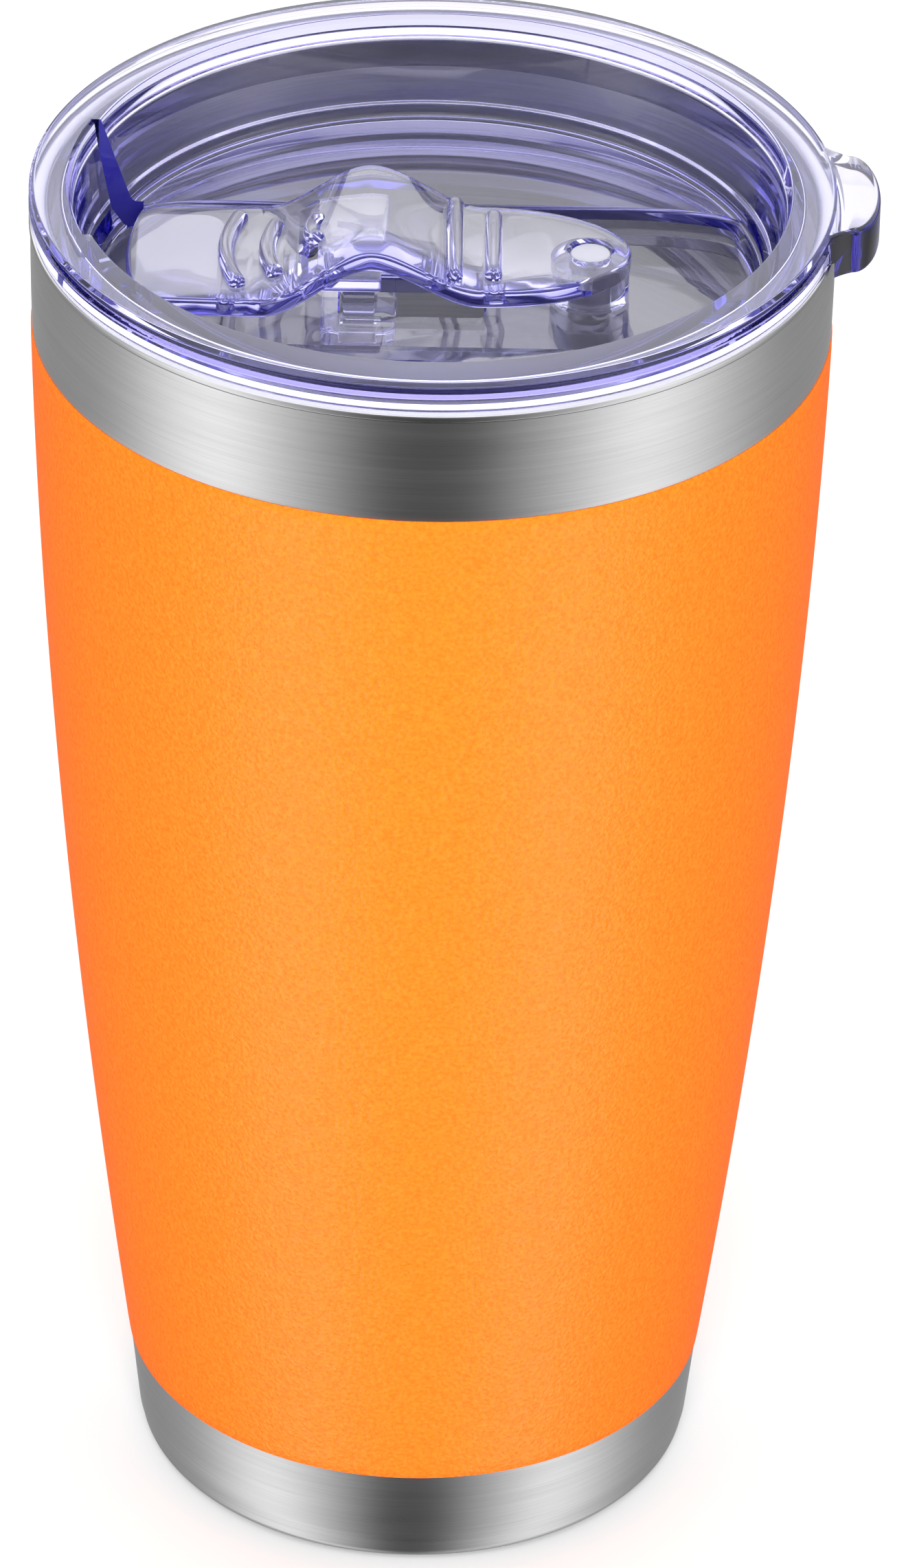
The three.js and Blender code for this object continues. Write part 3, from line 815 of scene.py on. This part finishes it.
def slider():
    plate_levels = edge_levels(-PLATE_THICKNESS, 0, 0.4, 0.6)
    plate = humped_slab("plate", slider_outline(), plate_levels, 72)
    boss_levels = edge_levels(-CHANNEL_DEPTH + GAP, -VENT_DEPTH - 0.3, 0.2, 0)
    boss = slab("boss", circle_outline(VENT_X, BOSS_RADIUS), boss_levels)
    combine(plate, boss, "UNION")
    bore_levels = [(0, -30), (0, -VENT_DEPTH - 0.3), (-0.3, -VENT_DEPTH), (-0.3, 0)]
    combine(plate, slab("bore", circle_outline(VENT_X, BOSS_BORE), bore_levels), "DIFFERENCE")
    near, far, half, low, high = WEB
    web = slab("web", rounded_box_outline(near, far, half, 0.5), edge_levels(-low, -high, 0.3, 0.2))
    under_outline = rounded_box_outline(near - 1, far + 1, half + 1, 1)
    under = humped_slab("under", under_outline, [(0, -30), (0, -PLATE_THICKNESS / 2)], 40)
    combine(plate, combine(web, under, "INTERSECT"), "UNION")
    leg_end = -KEEPER[3] - LEG_PAST
    bevel = 0.15
    for side in (-1, 1):
        leg = slab("leg", leg_outline(side, 0), [(bevel, leg_end), (0, leg_end + bevel), (0, 0.4 - low)])
        combine(plate, leg, "UNION")
    for index, (x, half_length, bulge) in enumerate(ARC_GRIPS):
        combine(plate, arc_grip(index, x, half_length, bulge), "UNION")
    for index, (x, half_length) in enumerate(BAR_GRIPS):
        combine(plate, bar_grip(index, x, half_length), "UNION")
    plate.name = "clear_slider"
    return lift(plate)


def seal_pad():
    levels = edge_levels(-CHANNEL_DEPTH + GAP, -SPOUT_DEPTH - PLATE_THICKNESS - 0.05, 0.4, 0.2)
    return lift(slab("seal_pad", rounded_box_outline(-33.2, -23.6, 10, 2.5), levels))


def vent_core():
    low = -CHANNEL_DEPTH + GAP
    levels = edge_levels(low, -VENT_DEPTH - 0.35, 0.2, 0.3)
    return lift(slab("vent_core", circle_outline(VENT_X, BOSS_BORE - 0.08), levels))


def keeper():
    near, far, half, bottom, top = KEEPER
    body = slab("keeper", rounded_box_outline(near, far, half, 1.5), edge_levels(-bottom, -top, 0.3, 0.3))
    for side in (-1, 1):
        combine(body, slab("leg_hole", leg_outline(side, GAP), [(0, -30), (0, -10)]), "DIFFERENCE")
    body.name = "snap_keeper"
    return lift(body)


def paint_shade_on_lid_edges(lid, edge, band, step):
    """The tab's side, the flange's band and the mouthpiece's steps get darker tinted plastic: painted shade
    for the dark groove, band and edges.
    """
    edge_index, band_index, step_index = 1, 2, 3
    for material in (edge, band, step):
        lid.data.materials.append(material)
    band_top, band_bottom = 0.5, 2.4
    step_side = math.sin(SPOUT_HALF_ANGLE) * MOUTH_RADIUS
    step_end = -33.2
    for polygon in lid.data.polygons:
        centre = polygon.center / MM
        out = math.hypot(centre.x, centre.y)
        depth = HEIGHT - centre.z
        on_flange = out > FLANGE_RADIUS - 0.9 and centre.x < FLANGE_RADIUS - 1
        by_step = centre.x < step_end and step_side - 0.2 < abs(centre.y) < step_side + 2.6
        # These faces take the darker tints, which are painted shade.
        if out > FLANGE_RADIUS + 0.4 and abs(polygon.normal.z) < 0.6:
            polygon.material_index = edge_index
        elif on_flange and band_top < depth < band_bottom:
            polygon.material_index = band_index
        elif by_step and depth < CHANNEL_DEPTH - 0.5:
            if abs(polygon.normal.y) > 0.7 and out < MOUTH_RADIUS + 0.6:
                polygon.material_index = step_index


# ---- Build the pieces ----
steel = brushed_steel("brushed_outer_steel")
# The liner's steel is painted lighter than the outer steel (grey 0.82 against 0.62): painted light for the
# cup's inside, where the lamps don't reach through the lid.
liner_steel_painted_light = brushed_steel("brushed_liner_steel", roughness=0.42, grey=0.82, anisotropy=0.9)
polished = polished_steel()
plastic = clear_plastic("clear_tinted_plastic", (0.99, 0.99, 1.0))
# Painted shade: darker tinted plastics for the tab's side, the flange's band and the mouthpiece's steps.
edge_painted_shade_plastic = clear_plastic("tab_edge_plastic", (0.03, 0.02, 0.2))
band_painted_shade_tint = (0.2, 0.17, 0.5)
band_painted_shade_plastic = clear_plastic("flange_band_plastic", band_painted_shade_tint, wave_scale=500, wave_detail=3, ripple=0.0004)
step_painted_shade_plastic = clear_plastic("mouthpiece_step_plastic", (0.05, 0.045, 0.5), clearness=0.5)

finish_piece(outer_shell(), "cup", ["outer_shell"], steel)
orange_coat = finish_piece(coat(), "cup", ["powder_coat"], powder_coat())
steel_liner = finish_piece(liner(), "cup", ["inner_liner"], liner_steel_painted_light)
steel_liner.data.materials.append(polished)
for polygon in steel_liner.data.polygons:
    if polygon.center.z > (RIM_START - POLISHED_BELOW_RIM) * MM:
        polygon.material_index = 1
finish_piece(base_disc(), "cup", ["base_cap"], steel)

clear_lid = finish_piece(lid_body(), "lid", ["lid_body"], plastic)
paint_shade_on_lid_edges(clear_lid, edge_painted_shade_plastic, band_painted_shade_plastic, step_painted_shade_plastic)
ring_silicone = silicone("ring_silicone", (0.84, 0.84, 0.9), 0.5)
finish_piece(gasket(), "lid", ["lid_gasket"], ring_silicone)
finish_piece(slider(), "slider", ["slider"], plastic)
pad_silicone = silicone("pad_silicone", (0.93, 0.93, 0.99), 0.2)
finish_piece(seal_pad(), "slider", ["drink_seal_pad"], pad_silicone)
# The vent core's silicone is darker than the pad and ring silicone: painted shade that tones down its top,
# which lies open to the light above.
core_silicone_painted_shade = silicone("core_silicone_painted_shade", (0.62, 0.62, 0.72), 0.3)
finish_piece(vent_core(), "slider", ["vent_plug"], core_silicone_painted_shade)
finish_piece(keeper(), "slider", ["slider_keeper"], plastic)

HIDDEN_PIECES = {
    "copper_wrap": copper_foil(),
    "outer_base": steel,
    "getter_holder": steel,
    "getter_pellet": sintered("getter_grains", (0.05, 0.05, 0.055), (0.13, 0.13, 0.14), 0.4, 0.9),
    "vacuum_seal_bead": sintered("bead_metal", (0.42, 0.42, 0.44), (0.55, 0.55, 0.57), 1.0, 0.5),
}
for node, material in HIDDEN_PIECES.items():
    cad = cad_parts[node]
    cad.data.materials.clear()
    cad.data.materials.append(material)


# ---- Stage ----
def make_floor():
    bm = bmesh.new()
    bmesh.ops.create_circle(bm, cap_ends=True, segments=96, radius=14)
    mesh = bpy.data.meshes.new("floor")
    bm.to_mesh(mesh)
    bm.free()
    floor = bpy.data.objects.new("floor", mesh)
    bpy.context.scene.collection.objects.link(floor)
    shader = Shader("pale_floor")
    shader.constant(Roughness=0.9, Specular_IOR_Level=0.1)
    shader.surface.inputs["Base Color"].default_value = (0.74, 0.74, 0.74, 1)
    floor.data.materials.append(shader.material)
    floor.visible_glossy = False


# Brightness of the surroundings: pairs of degrees to the right of the camera's side and a level
LOW_WALLS = ((-180, 0.37), (-130, 0.36), (-98, 0.6), (-66, 1.4), (-45, 0.9), (-22, 0.27), (0, 0.09))
LOW_WALLS += ((22, 0.27), (45, 0.85), (64, 1.35), (88, 0.9), (112, 0.45), (140, 0.36), (180, 0.37))
HIGH_WALLS = ((-180, 2.2), (-140, 1.5), (-110, 0.7), (-88, 0.9), (-66, 1.6), (-45, 0.9), (-22, 0.35))
HIGH_WALLS += ((0, 0.22), (22, 0.35), (45, 0.9), (66, 1.6), (88, 0.9), (110, 0.7), (140, 1.5), (180, 2.2))
TENT_TOP = 1.7
STRONGEST = 2.6  # the ramps hold shares of this level


def make_world():
    """A light tent seen by direction: bright above and behind, with a pale panel on each side."""
    world = bpy.data.worlds.new("studio")
    bpy.context.scene.world = world
    world.use_nodes = True
    tree = world.node_tree
    background = tree.nodes["Background"]

    def wired(node_type, *links, **settings):
        node = tree.nodes.new(node_type)
        for name, value in settings.items():
            setattr(node, name, value)
        for source, target in links:
            tree.links.new(source, node.inputs[target])
        return node

    def share_of(source, low, high):
        node = wired("ShaderNodeMapRange", (source, "Value"))
        node.interpolation_type = "SMOOTHSTEP"
        node.inputs["From Min"].default_value = low
        node.inputs["From Max"].default_value = high
        return node.outputs["Result"]

    coordinates = wired("ShaderNodeTexCoord")
    split = wired("ShaderNodeSeparateXYZ", (coordinates.outputs["Generated"], "Vector"))
    back = wired("ShaderNodeMath", (split.outputs["Y"], 0), operation="MULTIPLY")
    back.inputs[1].default_value = -1
    across = (split.outputs["X"], 0)
    azimuth = wired("ShaderNodeMath", across, (back.outputs["Value"], 1), operation="ARCTAN2")
    share = wired("ShaderNodeMapRange", (azimuth.outputs["Value"], "Value"))
    share.inputs["From Min"].default_value = -math.pi
    share.inputs["From Max"].default_value = math.pi

    def levels_round(stops):
        ramp = wired("ShaderNodeValToRGB", (share.outputs["Result"], "Fac"))
        ramp.color_ramp.interpolation = "CARDINAL"
        elements = ramp.color_ramp.elements
        while len(elements) < len(stops):
            elements.new(0.5)
        for element, (degrees, level) in zip(elements, stops):
            element.position = (degrees + 180) / 360
            grey = level / STRONGEST
            element.color = (grey, grey, grey, 1)
        return ramp.outputs["Color"]

    def mixed(factor, first, second):
        factor_socket, first_socket, second_socket, colour_result = 0, 6, 7, 2
        node = wired("ShaderNodeMix", data_type="RGBA")
        tree.links.new(factor, node.inputs[factor_socket])
        tree.links.new(first, node.inputs[first_socket])
        if isinstance(second, float):
            node.inputs[second_socket].default_value = (second, second, second, 1)
        else:
            tree.links.new(second, node.inputs[second_socket])
        return node.outputs[colour_result]

    low_walls = levels_round(LOW_WALLS)
    high_walls = levels_round(HIGH_WALLS)
    walls = mixed(share_of(split.outputs["Z"], -0.15, 0.25), low_walls, high_walls)
    tent = mixed(share_of(split.outputs["Z"], 0.6, 0.9), walls, TENT_TOP / STRONGEST)
    tree.links.new(tent, background.inputs["Color"])
    background.inputs["Strength"].default_value = STRONGEST


LIGHT_AIM = Vector((0, 0, 0.09))  # the middle of the cup


def soft_light(name, place, size, power, only=None, gloss=False):
    """A rectangular light aimed at the cup. With gloss it adds only a sheen, otherwise only soft light."""
    data = bpy.data.lights.new(name, "AREA")
    data.shape = "RECTANGLE"
    data.size, data.size_y = size
    data.energy = power
    lamp = bpy.data.objects.new(name, data)
    bpy.context.scene.collection.objects.link(lamp)
    lamp.location = place
    lamp.rotation_mode = "QUATERNION"
    lamp.rotation_quaternion = (LIGHT_AIM - Vector(place)).to_track_quat("-Z", "Y")
    lamp.visible_camera = False
    lamp.visible_transmission = False
    lamp.visible_glossy = gloss
    lamp.visible_diffuse = not gloss
    if only is not None:
        receivers = bpy.data.collections.new(name + "_receivers")
        receivers.objects.link(only)
        lamp.light_linking.receiver_collection = receivers
        lamp.light_linking.blocker_collection = receivers


def make_camera():
    """Long lens from the front, looking down at the lid at about 32 degrees, with a slight roll."""
    distance = 1.1573
    elevation = math.radians(32.333)
    yaw = math.radians(-0.202)
    roll = math.radians(1.1446)
    aim_height = 0.08777
    lens_per_sensor = 6.3593
    place = Vector((0, -distance * math.cos(elevation), aim_height + distance * math.sin(elevation)))
    forward = Matrix.Rotation(yaw, 3, "Z") @ Vector((0, math.cos(elevation), -math.sin(elevation)))
    right = forward.cross(Vector((0, 0, 1))).normalized()
    up = right.cross(forward)
    tilted_right = right * math.cos(roll) + up * math.sin(roll)
    tilted_up = up * math.cos(roll) - right * math.sin(roll)
    data = bpy.data.cameras.new("camera")
    data.sensor_width = 36
    data.lens = lens_per_sensor * data.sensor_width
    data.clip_start = 0.05
    data.clip_end = 60
    camera = bpy.data.objects.new("camera", data)
    bpy.context.scene.collection.objects.link(camera)
    camera.matrix_world = Matrix(
        (
            (tilted_right.x, tilted_up.x, -forward.x, place.x),
            (tilted_right.y, tilted_up.y, -forward.y, place.y),
            (tilted_right.z, tilted_up.z, -forward.z, place.z),
            (0, 0, 0, 1),
        )
    )
    bpy.context.scene.camera = camera


make_floor()
make_world()
soft_light("front_key", (0.0, -1.8, 0.9), (1.0, 1.2), 38)
soft_light("coat_key", (0.0, -1.8, 0.9), (1.0, 1.2), 22, only=orange_coat)
soft_light("left_sheen", (-1.05, -1.17, -1.1), (0.35, 1.3), 95, only=orange_coat, gloss=True)
soft_light("right_sheen", (1.1, -1.12, -1.1), (0.35, 1.3), 95, only=orange_coat, gloss=True)
make_camera()

scene = bpy.context.scene
scene.view_settings.view_transform = "Standard"
scene.view_settings.look = "None"
scene.cycles.max_bounces = 48
scene.cycles.transmission_bounces = 40
scene.cycles.glossy_bounces = 24
scene.cycles.transparent_max_bounces = 16
